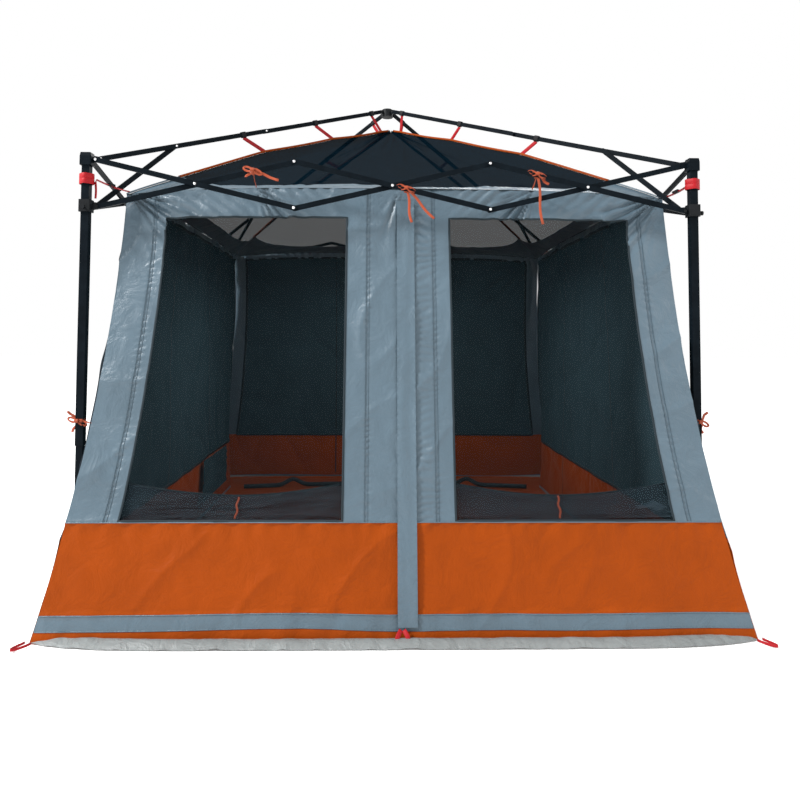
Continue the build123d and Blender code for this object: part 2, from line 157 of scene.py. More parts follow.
def cloth_material(name, color, roughness=0.6, weave=900.0, depth=0.25, alpha=1.0, crumple=9.0,
                   gloss=0.5, ior=1.45):
    """Woven cloth: a plain weave, crumpled shading, and uneven colour."""
    spread = 0.10
    material, tree, shader = new_material(name)
    place = add_node(tree, "ShaderNodeTexCoord").outputs["Object"]
    patches = add_node(tree, "ShaderNodeTexNoise", {"Scale": 3.5, "Detail": 6.0, "Roughness": 0.65})
    tree.links.new(place, patches.inputs["Vector"])
    ramp = add_node(tree, "ShaderNodeValToRGB")
    ramp.color_ramp.elements[0].position = 0.3
    ramp.color_ramp.elements[1].position = 0.72
    ramp.color_ramp.elements[0].color = tinted(color, 1 - spread)
    ramp.color_ramp.elements[1].color = tinted(color, 1 + spread)
    tree.links.new(patches.outputs["Fac"], ramp.inputs["Fac"])
    tree.links.new(ramp.outputs["Color"], shader.inputs["Base Color"])
    threads = []
    for axis in ("X", "Z"):
        wave = add_node(tree, "ShaderNodeTexWave", {"Scale": weave / 6.0, "Distortion": 0.4},
                        bands_direction=axis)
        tree.links.new(place, wave.inputs["Vector"])
        threads.append(wave)
    weaving = add_node(tree, "ShaderNodeMath", operation="MULTIPLY")
    tree.links.new(threads[0].outputs["Fac"], weaving.inputs[0])
    tree.links.new(threads[1].outputs["Fac"], weaving.inputs[1])
    creases = add_node(tree, "ShaderNodeTexNoise",
                       {"Scale": crumple, "Detail": 8.0, "Roughness": 0.6, "Distortion": 0.7})
    tree.links.new(place, creases.inputs["Vector"])
    crease_bump = add_node(tree, "ShaderNodeBump", {"Strength": depth, "Distance": 0.02})
    tree.links.new(creases.outputs["Fac"], crease_bump.inputs["Height"])
    weave_bump = add_node(tree, "ShaderNodeBump", {"Strength": 0.12, "Distance": 0.0005})
    tree.links.new(weaving.outputs["Value"], weave_bump.inputs["Height"])
    tree.links.new(crease_bump.outputs["Normal"], weave_bump.inputs["Normal"])
    tree.links.new(weave_bump.outputs["Normal"], shader.inputs["Normal"])
    shader.inputs["Roughness"].default_value = roughness
    shader.inputs["Specular IOR Level"].default_value = gloss
    shader.inputs["IOR"].default_value = ior
    shader.inputs["Alpha"].default_value = alpha
    return material


def metal_material(name, color, roughness, metallic=0.0, grain=220.0, depth=0.15, gloss=0.5,
                   ior=1.45):
    """Powder-coated, plated or moulded: a fine grain, slight wear and uneven gloss."""
    material, tree, shader = new_material(name)
    place = add_node(tree, "ShaderNodeTexCoord").outputs["Object"]
    wear = add_node(tree, "ShaderNodeTexNoise", {"Scale": 11.0, "Detail": 7.0, "Roughness": 0.7})
    tree.links.new(place, wear.inputs["Vector"])
    ramp = add_node(tree, "ShaderNodeValToRGB")
    ramp.color_ramp.elements[0].position = 0.35
    ramp.color_ramp.elements[1].position = 0.8
    ramp.color_ramp.elements[0].color = tinted(color, 0.8)
    ramp.color_ramp.elements[1].color = tinted(color, 1.7)
    tree.links.new(wear.outputs["Fac"], ramp.inputs["Fac"])
    tree.links.new(ramp.outputs["Color"], shader.inputs["Base Color"])
    uneven = add_node(tree, "ShaderNodeMapRange",
                      {"To Min": roughness - 0.07, "To Max": roughness + 0.09})
    tree.links.new(wear.outputs["Fac"], uneven.inputs["Value"])
    tree.links.new(uneven.outputs["Result"], shader.inputs["Roughness"])
    shader.inputs["Specular IOR Level"].default_value = gloss
    shader.inputs["IOR"].default_value = ior
    speck = add_node(tree, "ShaderNodeTexNoise", {"Scale": grain, "Detail": 3.0})
    tree.links.new(place, speck.inputs["Vector"])
    bump = add_node(tree, "ShaderNodeBump", {"Strength": depth, "Distance": 0.001})
    tree.links.new(speck.outputs["Fac"], bump.inputs["Height"])
    tree.links.new(bump.outputs["Normal"], shader.inputs["Normal"])
    shader.inputs["Metallic"].default_value = metallic
    return material


GREY = cloth_material("tent_grey", (0.062, 0.098, 0.126), roughness=0.38, depth=0.6, gloss=0.6,
                      crumple=8.0)
ORANGE = cloth_material("tent_orange", (0.230, 0.037, 0.0008), roughness=0.5, depth=0.5,
                        crumple=8.0, gloss=0.10)
SEAM = cloth_material("seam_thread", (0.040, 0.066, 0.086), roughness=0.6, weave=2400.0, gloss=0.3)
MESH = cloth_material("window_mesh", (0.006, 0.010, 0.012), roughness=0.85, weave=2400.0,
                      depth=0.1, alpha=0.34, gloss=0.05, ior=1.05)
SCREEN = cloth_material("window_cover", (0.025, 0.047, 0.058), roughness=0.75, weave=2400.0,
                        depth=0.12, crumple=3.0, gloss=0.08, ior=1.15)
ROOF_MESH = cloth_material("roof_mesh", (0.001, 0.005, 0.009), roughness=0.8, weave=2400.0,
                           depth=0.2, alpha=0.88, gloss=0.05, ior=1.05)
SHEER = cloth_material("sheer_pocket", (0.013, 0.024, 0.032), roughness=0.6, weave=2400.0,
                       alpha=0.88, depth=0.5, gloss=0.15)
BINDING = cloth_material("binding_tape", (0.014, 0.022, 0.027), roughness=0.7, weave=1500.0,
                         gloss=0.2)
WEBBING = cloth_material("red_webbing_cloth", (0.29, 0.003, 0.007), roughness=0.55, weave=1500.0,
                         depth=0.1, gloss=0.25)
RIBBON = cloth_material("orange_ribbon", (0.27, 0.045, 0.014), roughness=0.5, weave=1500.0,
                        gloss=0.35)
SILVER = cloth_material("silver_groundsheet", (0.17, 0.185, 0.185), roughness=0.42, depth=0.8,
                        crumple=14.0)
BLACK_WEB = cloth_material("black_webbing", (0.010, 0.010, 0.011), roughness=0.7, weave=1500.0,
                           gloss=0.2)
STEEL = metal_material("black_powder_coat", (0.003, 0.005, 0.007), 0.40, gloss=0.2, ior=1.18)
PLASTIC = metal_material("black_moulding", (0.005, 0.006, 0.007), 0.46, grain=420.0, depth=0.3,
                         gloss=0.3, ior=1.3)
ZINC = metal_material("zinc_rivet", (0.62, 0.62, 0.63), 0.3, metallic=0.9, grain=500.0)


# ---------------- mesh helpers

def make_piece(name, points, faces, materials, indices=None):
    """A mesh object with smooth shading, in the scene's own collection."""
    mesh = bpy.data.meshes.new(name)
    mesh.from_pydata(points, [], faces)
    for material in materials:
        mesh.materials.append(material)
    if indices:
        mesh.polygons.foreach_set("material_index", indices)
    mesh.polygons.foreach_set("use_smooth", [True] * len(mesh.polygons))
    mesh.update()
    piece = bpy.data.objects.new(name, mesh)
    bpy.context.scene.collection.objects.link(piece)
    return piece


def on_tent(piece, body=ROOT):
    """The piece belongs to the tent and rides on the given body, by default the root post."""
    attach(piece, body)
    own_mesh(piece)
    return piece


def on_frame(piece, body):
    """The piece moves with one of the frame's bodies."""
    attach(piece, body)


def spaced(marks, step):
    """The marks, with even steps filled in between them."""
    values = [marks[0]]
    for low, high in zip(marks, marks[1:]):
        count = max(1, round((high - low) / step))
        values += [low + (high - low) * (i + 1) / count for i in range(count)]
    return values


def evenly(low, high, count):
    """A number of values from low to high, both included."""
    return [low + (high - low) * i / (count - 1) for i in range(count)]


def surface_normal(where, s, t):
    """The normal of a mapped surface at s, t."""
    reach = 0.002
    across = where(s + reach, t) - where(s - reach, t)
    upward = where(s, t + reach) - where(s, t - reach)
    return across.cross(upward).normalized()


def surface_line(where, marks, ripple, above=0.001):
    """Points just above a rippled surface at the given (s, t) marks, and its normals there."""
    path, normals = [], []
    for s, t in marks:
        normal = surface_normal(where, s, t)
        path.append(where(s, t) + normal * (ripple(s, t) + above))
        normals.append(normal)
    return path, normals


def cloth_grid(name, where, s_marks, t_marks, region, materials, ripple, step):
    """A sheet over a mapped surface, in regions by material, with holes where region is None."""
    s_values = spaced(s_marks, step[0])
    t_values = spaced(t_marks, step[1])
    columns = len(s_values)
    used = {}
    points, faces, indices = [], [], []

    def corner(i, j):
        key = j * columns + i
        if key not in used:
            s, t = s_values[i], t_values[j]
            used[key] = len(points)
            points.append(where(s, t) + surface_normal(where, s, t) * ripple(s, t))
        return used[key]

    for j in range(len(t_values) - 1):
        t = (t_values[j] + t_values[j + 1]) / 2
        for i in range(columns - 1):
            kind = region((s_values[i] + s_values[i + 1]) / 2, t)
            if kind is None:
                continue
            faces.append((corner(i, j), corner(i + 1, j), corner(i + 1, j + 1), corner(i, j + 1)))
            indices.append(kind)
    return make_piece(name, points, faces, materials, indices)


def ring_faces(rings, sides, closed=False):
    """Faces between rings of points, with a cap at each end unless the last meets the first."""
    faces = []
    for i in range(rings if closed else rings - 1):
        near, far = i * sides, ((i + 1) % rings) * sides
        for k in range(sides):
            m = (k + 1) % sides
            faces.append((near + k, near + m, far + m, far + k))
    if not closed:
        faces.append(tuple(reversed(range(sides))))
        faces.append(tuple(range((rings - 1) * sides, rings * sides)))
    return faces


def sweep(name, path, normals, section, material, closed=False):
    """A strip or tube: the section's (across, out) points carried along a path."""
    points = []
    count = len(path)
    for i, (point, normal) in enumerate(zip(path, normals)):
        if closed:
            ahead, behind = path[(i + 1) % count], path[i - 1]
        else:
            ahead, behind = path[min(i + 1, count - 1)], path[max(i - 1, 0)]
        along = (ahead - behind).normalized()
        across = along.cross(normal).normalized()
        out = across.cross(along)
        points += [point + across * a + out * b for a, b in section]
    return make_piece(name, points, ring_faces(count, len(section), closed), [material])


def flat_section(width, thick):
    """A webbing or tape section with rounded edges."""
    w, h = width / 2, thick / 2
    return [(-w, -h * 0.4), (-w * 0.94, -h), (w * 0.94, -h), (w, -h * 0.4),
            (w, h * 0.4), (w * 0.94, h), (-w * 0.94, h), (-w, h * 0.4)]


def round_section(radius):
    """A round cord's section."""
    sides = 10
    angles = [2 * math.pi * i / sides for i in range(sides)]
    return [(radius * math.cos(a), radius * math.sin(a)) for a in angles]


def joined(name, parts):
    """Several pieces as one object."""
    bpy.ops.object.select_all(action="DESELECT")
    for part in parts:
        part.select_set(True)
    bpy.context.view_layer.objects.active = parts[0]
    bpy.ops.object.join()
    parts[0].name = name
    return parts[0]


# ---------------- the tent's surfaces

def eave_lift(s):
    """How high the ties hold an eave above its corners."""
    return EAVE_LIFT * (1 - min(1.0, abs(s)) ** 3.5)


def wall_lift(s, t):
    """The part of the eave's lift that reaches down into a wall."""
    return eave_lift(s) * max(0.0, (t - LIFT_FROM) / (1 - LIFT_FROM)) ** 1.6


def end_point(sign):
    """The front (sign -1) or back (sign 1) wall as a mapping; s is seen from outside."""
    hem_wave, hem_gap = 0.011, 0.006

    def where(s, t):
        down = max(0.0, 1 - t)
        swing = min(1.0, max(0.0, (abs(s) - 0.2) / 0.6))
        half = EAVE + (GROUND_X - EAVE) * down ** CURVE * swing
        hem = hem_wave * noise.noise(Vector((s * 3.0, sign, 0.5))) * math.exp(-(t / 0.07) ** 2)
        return Vector((TENT_SHIFT - sign * s * half, sign * (EAVE + (GROUND_Y - EAVE) * down),
                       EAVE_Z * t + wall_lift(s, t) + hem + hem_gap * max(0.0, 1 - t / 0.05)))
    return where


def flare(share):
    """How far a side wall has swung out to its ground corner, 0 between the posts."""
    past = max(0.0, (share - SHARE_TUCKED) / (1 - SHARE_TUCKED))
    return past ** 1.25


def side_point(sign):
    """The right (sign 1) or left (sign -1) wall; s is seen from outside."""
    def where(s, t):
        down = max(0.0, 1 - t)
        half = EAVE + (GROUND_Y - EAVE) * down
        out = EAVE + (GROUND_X - EAVE) * down ** CURVE * flare(abs(s))
        return Vector((TENT_SHIFT + sign * out, sign * s * half, EAVE_Z * t + wall_lift(s, t)))
    return where


def hook_sag(t):
    """The hip's slack between the points where straps hold it."""
    marks = (0.0, *HOOKS, 1.0)
    for low, high in zip(marks, marks[1:]):
        if low <= t <= high:
            return HIP_SLACK * (high - low) * math.sin(math.pi * (t - low) / (high - low))
    return 0.0


def roof_surface(turn):
    """One quarter of the roof, t from the eave to the peak, s across it."""
    spin = Matrix.Rotation(turn * math.pi / 2, 4, "Z")

    def where(s, t):
        half = EAVE * (1 - t) + PEAK_HALF * t
        z = EAVE_Z + (PEAK_Z - EAVE_Z) * t
        hip = abs(s) ** 6
        held = HIP_BOW * math.sin(math.pi * max(0.0, min(1.0, t)) ** 0.8)
        z += held * (0.35 + 0.65 * hip) - ROOF_SAG * math.sin(math.pi * t) * (1 - hip)
        z -= hook_sag(t) * hip
        z += eave_lift(s) * max(0.0, 1 - t / 0.25) ** 2
        return spin @ Vector((s * half, -half, z)) + Vector((TENT_SHIFT, 0, 0))
    return where


def roof_point(turn):
    """The same quarter, with its lines of equal t turned up towards the hips."""
    surface = roof_surface(turn)
    return lambda s, t: surface(s, t + 0.95 * abs(s) ** 6 * t * (1 - t))


def creases(seed, size):
    """Slack in a hung panel: broad sag, slanting folds, and small crumples."""
    def ripple(s, t):
        broad = noise.noise(Vector((s * 1.6, t * 1.3, seed)))
        slant = noise.noise(Vector((s * 5.0 + t * 2.0, t * 3.0 - s, seed + 7)))
        fine = noise.noise(Vector((s * 16.0 + t * 5.0, t * 19.0, seed + 13)))
        ridge = 1 - abs(noise.noise(Vector((s * 4.0 - t * 2.5, t * 3.5 + s, seed + 19)))) * 2
        value = 1.8 * broad + 1.3 * slant + 0.45 * fine + 1.1 * ridge ** 5
        return size * value * min(1.0, t * 8 + 0.2)
    return ripple


def pull_folds(half, seed):
    """Straight folds that fan down and inwards from the eave's ties and corners."""
    # each anchor: s, the way its folds run, their angle below the eave, length and number
    anchors = [(-1.0, 1, 0.55, 0.42, 34), (1.0, -1, 0.55, 0.42, 34)]
    anchors += [(TIES[0], 1, 0.75, 0.36, 30), (TIES[2], -1, 0.75, 0.36, 30)]
    anchors += [(TIES[1], -1, 1.5, 0.20, 16)]
    crumpled_down_to = 0.34

    def ripple(s, t):
        value = 0.0
        for number, (at, way, lean, reach, folds) in enumerate(anchors):
            across = (s - at) * half * way
            down = (1.0 - t) * EAVE_Z + 0.012
            far = math.hypot(across, down)
            if far > reach * 2.2:
                continue
            angle = math.atan2(down, across)
            fan = math.exp(-((angle - lean) / 0.42) ** 2)
            wander = noise.noise(Vector((angle * 6.0, far * 4.0, seed + number)))
            fade = math.exp(-(far / reach) ** 2) * min(1.0, far / 0.06)
            wave = math.sin(folds * angle + 2.4 * wander + number)
            value += FOLD_DEPTH * fan * fade * (abs(wave) ** 0.7 * (1 if wave > 0 else -1))
        down = (1.0 - t) * EAVE_Z
        if down < crumpled_down_to:
            inward = (1 - abs(s)) * half
            wander = noise.noise(Vector((s * 5.0, t * 9.0, seed + 31)))
            patchy = max(0.0, 0.5 + 1.1 * noise.noise(Vector((s * 2.6, t * 2.0, seed + 37))))
            strength = patchy * math.exp(-(down / 0.17) ** 2) * min(1.0, inward / 0.05)
            strength *= min(1.0, max(0.0, (abs(s) - 0.16) * 6.0))
            line = inward * 0.60 - down * 0.80
            value += CRUMPLE_DEPTH * strength * math.sin(150.0 * line + 3.0 * wander)
        return value
    return ripple


FRONT_CREASES = creases(1.0, FRONT_SLACK)
FRONT_FOLDS = pull_folds(EAVE, 3.0)


def front_ripple(s, t):
    """The front's slack, with folds from the ties and puckers beside each sewn seam."""
    calm = 1 - ZIP_HOLD * math.exp(-((s - ZIP_AT) / 0.030) ** 4)
    value = calm * (FRONT_CREASES(s, t) + FRONT_FOLDS(s, t))
    wobble = noise.noise(Vector((s * 9.0, t * 14.0, 2.0)))
    for number, seam in enumerate(SEAMS):
        gap = abs(s - seam)
        if gap < 0.05 and t > BAND_T[1]:
            patchy = 0.5 + noise.noise(Vector((number * 3.1, t * 6.0, 4.0)))
            near = math.exp(-(gap / 0.016) ** 2)
            value += PUCKER_DEPTH * patchy * near * math.sin(t * 400 + 9 * wobble)
            value -= STITCH_DEPTH * math.exp(-(gap / 0.0035) ** 2)
    if LADDER[0] < s < LADDER[1] and t > BAND_T[1]:
        middle = math.sin(math.pi * (s - LADDER[0]) / (LADDER[1] - LADDER[0]))
        patchy = max(0.0, 0.55 + 1.2 * noise.noise(Vector((0.0, t * 5.0, 8.0))))
        value += GATHER_DEPTH * patchy * middle * math.sin(t * 340 + 7 * wobble)
    for edge in BAND_T:
        value += STITCH_DEPTH * math.exp(-((t - edge) / 0.006) ** 2)
    below = t - BAND_T[1]
    if -0.06 < below < 0:
        pleat = noise.noise(Vector((s * 26.0, t * 5.0, 6.0)))
        value += PLEAT_DEPTH * pleat * math.exp(-(below / 0.028) ** 2)
    if t < BAND_T[0] + 0.01:
        value += 0.006 * noise.noise(Vector((s * 18.0, t * 20.0, 9.0)))
    return value


def in_window(s, t):
    """Whether a point of the front lies in one of its windows."""
    if not WINDOW_T[0] < t < WINDOW_T[1]:
        return False
    return WINDOW_LEFT[0] < s < WINDOW_LEFT[1] or WINDOW_RIGHT[0] < s < WINDOW_RIGHT[1]


def band_index(t):
    """Grey 0 or orange 1 by height."""
    return 1 if BAND_T[0] < t < BAND_T[1] or t < SKIRT_T else 0


def window_loop(where, s_pair, t_pair, ripple):
    """Points and normals round a window's edge."""
    steps = 44
    s0, s1 = s_pair
    t0, t1 = t_pair
    corners = [(s0, t0), (s1, t0), (s1, t1), (s0, t1)]
    marks = [(sa + (sb - sa) * i / steps, ta + (tb - ta) * i / steps)
             for (sa, ta), (sb, tb) in zip(corners, corners[1:] + corners[:1])
             for i in range(steps)]
    return surface_line(where, marks, ripple)


def pocket_point(where, s_pair):
    """The slack pocket inside a window's foot; k runs across it and v up it."""
    height, dip, gap, slack = 0.077, 0.027, 0.016, 0.02

    def place(k, v):
        belly = math.sin(math.pi * min(1.0, max(0.0, k)))
        point = where(s_pair[0] + (s_pair[1] - s_pair[0]) * k,
                      WINDOW_T[0] + (height - dip * belly) * v)
        return point + Vector((0, gap + slack * belly * v, 0))
    return place


def front_windows(where):
    """The mesh panes with the pockets behind them, and the tapes that edge and hang from both."""
    outward = SIDE_OUT[0]
    panes, trims = [], []
    for side, s_pair in (("left", WINDOW_LEFT), ("right", WINDOW_RIGHT)):
        panes.append(cloth_grid(f"{side}_window_mesh", where, s_pair, WINDOW_T, lambda s, t: 0,
                                [MESH], front_ripple, step=(0.012, 0.012)))
        path, normals = window_loop(where, s_pair, WINDOW_T, front_ripple)
        trims.append(sweep(f"{side}_binding", path, normals, flat_section(width=0.010, thick=0.003),
                           BINDING, closed=True))
        pocket = pocket_point(where, s_pair)
        panes.append(cloth_grid(f"{side}_pocket", pocket, (0, 1), (0, 1), lambda k, v: 0, [SHEER],
                                creases(9.0 + s_pair[0], 0.010), step=(0.012, 0.05)))
        rim = [pocket(k, 1) for k in evenly(0, 1, 41)]
        trims.append(sweep(f"{side}_pocket_rim", rim, [outward] * len(rim),
                           flat_section(width=0.008, thick=0.002), BINDING))
        hang = [pocket(0.5 + 0.004 * math.sin(i * 0.9), 1 - i / 14) + outward * 0.008
                for i in range(14)]
        trims.append(sweep(f"{side}_pocket_ribbon", hang, [outward] * len(hang),
                           flat_section(width=0.009, thick=0.0016), RIBBON))
    return joined("front_window_mesh", panes), joined("front_window_binding", trims)


def front_seams(where):
    """Twin rows of stitching down each upright seam, and the tapes along the bands."""
    seams = []
    half_gap = 0.0055
    for number, seam in enumerate(SEAMS):
        for s in (seam - half_gap, seam + half_gap):
            marks = [(s, t) for t in evenly(BAND_T[1], 0.995, 220)]
            path, normals = surface_line(where, marks, front_ripple, above=0.0008)
            seams.append(sweep(f"seam_{number}", path, normals,
                               flat_section(width=0.0020, thick=0.0014), SEAM))
    for t in (SKIRT_T, *BAND_T):
        marks = [(s, t) for s in evenly(-0.998, 0.998, 160)]
        path, normals = surface_line(where, marks, front_ripple)
        seams.append(sweep("band_seam", path, normals, flat_section(width=0.005, thick=0.002),
                           GREY))
    return joined("front_seam_tapes", seams)


def make_front():
    """The front wall: cloth, windows with their pockets, and its seams."""
    where = end_point(-1)
    s_marks = sorted([-1, 1, *WINDOW_LEFT, *WINDOW_RIGHT, *SEAMS])
    t_marks = [0.0, SKIRT_T, *BAND_T, *WINDOW_T, 1.0]
    cloth = cloth_grid("front_wall_cloth", where, s_marks, t_marks,
                       lambda s, t: None if in_window(s, t) else band_index(t),
                       [GREY, ORANGE], front_ripple, step=(0.0075, 0.0036))
    windows, trim = front_windows(where)
    seam_lines = front_seams(where)
    for piece in (cloth, windows, trim, seam_lines):
        on_tent(piece)
    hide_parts("front_wall")


def make_wall(name, where, node, seed, reach):
    """A side or back wall: grey cloth with an orange band and one large covered window."""
    window = (-reach, reach)
    skirt = SKIRT_T * 0.5

    def region(s, t):
        if window[0] < s < window[1] and WALL_WINDOW_T[0] < t < WALL_WINDOW_T[1]:
            return 2
        return 1 if skirt < t < WALL_WINDOW_T[0] else 0

    slack = creases(seed, WALL_SLACK)
    folds = pull_folds(EAVE, seed)

    def ripple(s, t):
        return slack(s, t) + 1.3 * folds(s, t)

    marks = sorted({-1, -SHARE_TUCKED, *window, 0, SHARE_TUCKED, 1})
    t_marks = [0.0, skirt, *WALL_WINDOW_T, 1.0]
    cloth = cloth_grid(f"{name}_wall_cloth", where, marks, t_marks, region,
                       [GREY, ORANGE, SCREEN], ripple, step=(0.0095, 0.009))
    path, normals = window_loop(where, window, WALL_WINDOW_T, ripple)
    parts = [sweep(f"{name}_window_binding", path, normals, flat_section(width=0.020, thick=0.009),
                   BINDING, closed=True)]
    for seam in WALL_SEAMS:
        line, faces = surface_line(where, [(seam, t) for t in evenly(SKIRT_T, 0.985, 90)], ripple)
        parts.append(sweep(f"{name}_wall_seam", line, faces, flat_section(width=0.010, thick=0.003),
                           BINDING))
    trim = joined(f"{name}_wall_trim", parts)
    on_tent(cloth)
    on_tent(trim)
    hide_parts(node)


def make_inside():
    """What shows through the front windows: the rear door's hem, and a pocket on the left."""
    hem_half, hem_at, hem_bend, hem_height, bump_height = 1.24, 1.42, 0.09, 0.028, 0.05
    bumps_at = (0.72, -0.82)
    hem = []
    for x in evenly(-hem_half, hem_half, 90):
        bump = sum(math.exp(-((x - at) / 0.07) ** 2) for at in bumps_at)
        hem.append(Vector((TENT_SHIFT + x, hem_at - hem_bend * x * x,
                           hem_height + bump_height * bump)))
    parts = [sweep("rear_hem", hem, [SIDE_OUT[0]] * len(hem),
                   flat_section(width=0.036, thick=0.014), BINDING)]
    wall = side_point(-1)
    off_wall = Vector((0.030, 0, 0))
    parts.append(cloth_grid("left_pocket",
                            lambda k, v: wall(-0.13 - 0.46 * k, 0.065 + 0.145 * v) + off_wall,
                            (0, 1), (0, 1), lambda k, v: 0, [SCREEN], creases(61.0, 0.006),
                            step=(0.06, 0.06)))
    on_tent(joined("inside_trim", parts))


def roof_ripple(seed):
    """A roof panel's slack with faint pull folds, flat along the hips."""
    slack = creases(seed, ROOF_SLACK)
    folds = pull_folds(EAVE, seed + 4)
    return lambda s, t: (slack(s, t) + 0.3 * folds(s, 1 - t)) * min(1.0, (1 - abs(s)) * 14)


def make_roof():
    """The mesh roof with its light eave band and orange piping on the hips."""
    quarters = []
    for turn in range(4):
        quarters.append(cloth_grid(f"roof_quarter_{turn}", roof_point(turn), (-1, 1),
                                   (0.0, EAVE_BAND, 0.997), lambda s, t: 0 if t < EAVE_BAND else 1,
                                   [GREY, ROOF_MESH], roof_ripple(20.0 + turn),
                                   step=(0.016, 0.011)))
    roof = joined("roof_cloth", quarters)
    pipes = []
    piped_from = 0.15
    for turn in range(4):
        where = roof_surface(turn)
        path = [where(1, piped_from + (1 - piped_from) * i / 80) + UP * 0.007 for i in range(80)]
        pipes.append(sweep(f"hip_piping_{turn}", path, [UP] * len(path),
                           flat_section(width=0.017, thick=0.012), ORANGE))
        path = [where(1, t) + UP * 0.006 for t in evenly(0, piped_from, 21)]
        pipes.append(sweep(f"hip_foot_{turn}", path, [UP] * len(path),
                           flat_section(width=0.014, thick=0.008), GREY))
        path = [where(s, 0.0) for s in evenly(-1, 1, 81)]
        pipes.append(sweep(f"eave_piping_{turn}", path, [UP] * len(path),
                           round_section(radius=0.0032), BINDING))
    piping = joined("roof_piping", pipes)
    on_tent(roof)
    on_tent(piping)
    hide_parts("tent_roof")


def make_groundsheet():
    """The sheet under the tent: silver edges, crumpled past the walls, and orange inside."""
    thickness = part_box("groundsheet")[1].z
    past_wall, edge_roll, edge_lift, rolled_from = 0.080, 0.022, 0.014, 0.945

    def where(s, t):
        along = 2 * t - 1
        half = EAVE + (GROUND_X - EAVE) * flare(abs(along))
        past = past_wall * (1 - min(1.0, abs(s)) ** 8)
        return Vector((TENT_SHIFT + s * half, along * (GROUND_Y + past), 0.0))

    def ripple(s, t):
        edge = max(0.0, abs(2 * t - 1) - rolled_from) / (1 - rolled_from)
        lift = noise.noise(Vector((s * 11, t * 5, 3.0)))
        fine = noise.noise(Vector((s * 34, t * 30, 5.0)))
        raised = edge_roll * math.sin(math.pi * min(1.0, edge)) + edge_lift * max(0.0, lift) * edge
        return thickness * 0.8 + 0.0015 + raised + 0.006 * fine * edge

    sheet = cloth_grid("groundsheet_cloth", where, (-1, 1), (0, SHEET_EDGE, 1 - SHEET_EDGE, 1),
                       lambda s, t: 1 if SHEET_EDGE < t < 1 - SHEET_EDGE else 0,
                       [SILVER, ORANGE], ripple, step=(0.0095, 0.0035))
    on_tent(sheet)
    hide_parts("groundsheet")


def make_storm_flap():
    """The narrow flap over the door zip, on its own hinge."""
    where = end_point(-1)
    off_wall, pucker_depth, wave = 0.0135, 0.0018, 0.004

    def strip(s, t):
        base = where(0, t)
        return Vector((FLAP_LOW.x + (FLAP_HIGH.x - FLAP_LOW.x) * s, base.y, base.z))

    def ripple(s, t):
        pucker = math.exp(-(s / 0.12) ** 2) + math.exp(-((1 - s) / 0.12) ** 2)
        wobble = noise.noise(Vector((s * 2, t * 8, 5.0)))
        return off_wall + pucker_depth * pucker * math.sin(t * 400 + 8 * wobble) + wave * wobble

    t_marks = (FLAP_LOW.z / EAVE_Z, FLAP_HIGH.z / EAVE_Z)
    flap = cloth_grid("storm_flap_cloth", strip, (0, 1), t_marks, lambda s, t: 0, [GREY], ripple,
                      step=(0.07, 0.0035))
    on_tent(flap, "storm_flap")
    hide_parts("storm_flap")


def make_zip():
    """The coil zip under the flap, and its slider with a pull."""
    where = end_point(-1)
    path = []
    for t in evenly(0.05, 0.95, 120):
        point = where(0, t)
        path.append(Vector((ZIP_X, point.y - 0.002, point.z)))
    normal = surface_normal(where, 0, 0.5)
    normals = [normal] * len(path)
    tape = sweep("door_zip_tape", path, normals, flat_section(width=0.03, thick=0.002), BINDING)
    coil = sweep("door_zip_coil", [point + normal * 0.002 for point in path], normals,
                 flat_section(width=0.006, thick=0.003), BLACK_WEB)
    on_tent(joined("door_zip", [tape, coil]))
    low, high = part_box("zip_slider")
    centre = (low + high) / 2
    up = (where(0, 0.6) - where(0, 0.5)).normalized()
    across = Vector((1, 0, 0))
    outline = [0.6, 0.85, 1.0, 1.0, 0.95, 0.9, 0.88, 0.85, 0.8, 0.6]
    section = flat_section(width=0.013, thick=0.006)
    points = []
    for along, share in zip(evenly(0.010, -0.012, len(outline)), outline):
        points += [centre + up * along + across * a * share + normal * b for a, b in section]
    slider = make_piece("zip_slider_body", points, ring_faces(len(outline), len(section)), [ZINC])
    pull = sweep("zip_pull", [centre - up * (0.004 + 0.003 * i) for i in range(11)], [normal] * 11,
                 flat_section(width=0.007, thick=0.002), RIBBON)
    piece = joined("zip_slider_piece", [slider, pull])
    on_tent(piece, "zip_slider")
    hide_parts("zip_slider")


# ---------------- straps and ties

def corner_ways(number):
    """From a post: towards the tent's middle, and level across that."""
    sign_x, sign_y = CORNER_SIGNS[number]
    inward = Vector((-sign_x, -sign_y, 0)).normalized()
    return inward, inward.cross(UP)


def arm_point(number, share):
    """A point on a roof arm's line, from the bracket pivot to the hub's."""
    hub_pivots = 0.06
    foot = Vector(joints[f"{CORNERS[number]}_outer_arm_pivot"]["pos_m"])
    inward = Vector((-foot.x, -foot.y, 0)).normalized()
    top = Vector((0, 0, (HUB_LOW.z + HUB_HIGH.z) / 2)) - inward * hub_pivots
    return foot + (top - foot) * share


def hip_point(number, share):
    """A point on the tent roof's hip."""
    turn, end = ((0, -1), (0, 1), (2, -1), (2, 1))[number]
    return roof_surface(turn)(end, share)


def ring_round(centre, along, up, name, material, width, height, band):
    """A loop of webbing round a bar; width and height are from the bar's line."""
    across = along.cross(up).normalized()
    out = across.cross(along).normalized()
    path, normals = [], []
    for i in range(28):
        angle = 2 * math.pi * i / 28
        c, s = math.cos(angle), math.sin(angle)
        shape = (abs(c) ** 4 + abs(s) ** 4) ** -0.25
        path.append(centre + across * (c * shape * width) + out * (s * shape * height))
        normals.append((across * c + out * s).normalized())
    return sweep(name, path, normals, flat_section(band, thick=0.002), material, closed=True)


